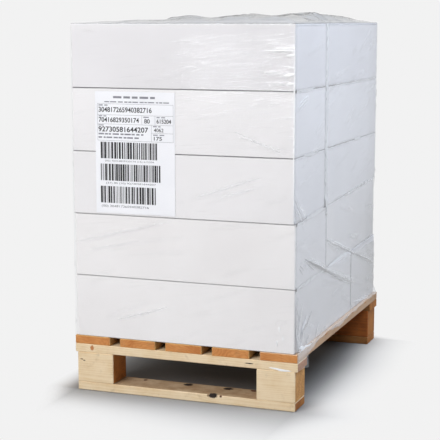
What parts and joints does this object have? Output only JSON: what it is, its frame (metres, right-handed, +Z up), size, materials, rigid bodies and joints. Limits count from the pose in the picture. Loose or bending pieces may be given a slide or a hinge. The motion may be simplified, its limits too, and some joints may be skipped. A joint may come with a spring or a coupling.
{
  "type": "shrink-wrapped pallet load",
  "caption": "Stack of plain white cartons under clear shrink film on a wooden half pallet, with a printed paper label on the front and fork entries on all sides.",
  "frame": {"origin": "middle of the pallet's footprint, on the floor", "axes": "+Z up, +X to the right across the labelled front, -Y out of the labelled front"},
  "size_m": [0.6014, 0.8, 0.9637],
  "materials": {
    "deck_wood": "rough sawn",
    "pale_wood": "rough sawn",
    "block_wood": "rough sawn",
    "carton_board": "matt white liner",
    "film": "clear gloss",
    "label_paper": "matt"
  },
  "bodies": {
    "root": {"deck_board_1": "deck_wood", "deck_board_2": "deck_wood", "deck_board_3": "deck_wood", "deck_board_4": "deck_wood", "deck_board_5": "deck_wood", "stringer_front": "pale_wood", "stringer_back": "pale_wood", "bottom_board_front": "pale_wood", "bottom_board_back": "pale_wood", "block_front_left": "block_wood", "block_front_right": "block_wood", "block_back_left": "block_wood", "block_back_right": "block_wood", "carton_1_front": "carton_board", "carton_1_back": "carton_board", "carton_2_front": "carton_board", "carton_2_back": "carton_board", "carton_3_front": "carton_board", "carton_3_back": "carton_board", "carton_4_front": "carton_board", "carton_4_back": "carton_board", "carton_5_front": "carton_board", "carton_5_back": "carton_board", "film_wrap": "film", "shipping_label": "label_paper"}
  },
  "joints": []
}
